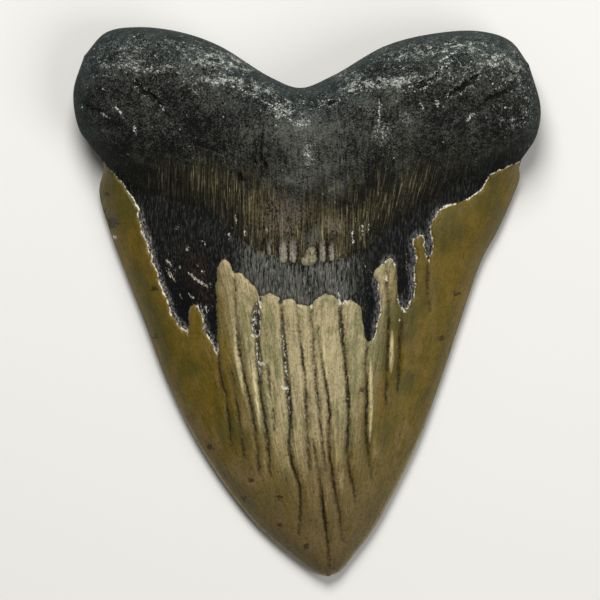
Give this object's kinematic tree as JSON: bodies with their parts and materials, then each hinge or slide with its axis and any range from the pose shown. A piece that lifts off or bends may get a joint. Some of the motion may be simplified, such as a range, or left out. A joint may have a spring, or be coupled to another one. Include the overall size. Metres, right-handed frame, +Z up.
{
  "type": "fossil megalodon tooth",
  "caption": "Large fossil shark tooth with a dark two-lobed root and a broad cracked enamel crown, lying flat with its rounded inner face up, for display.",
  "frame": {"origin": "centre of the bounding box in plan, on the surface the tooth rests on", "axes": "+Y from the tip towards the root, +X to the right seen from above, +Z up through the rounded inner face"},
  "size_m": [0.1214, 0.143, 0.0287],
  "materials": {
    "fossil": "satin enamel on the crown, matt dark stone on the root"
  },
  "bodies": {
    "root": {"tooth": "fossil"}
  },
  "joints": []
}
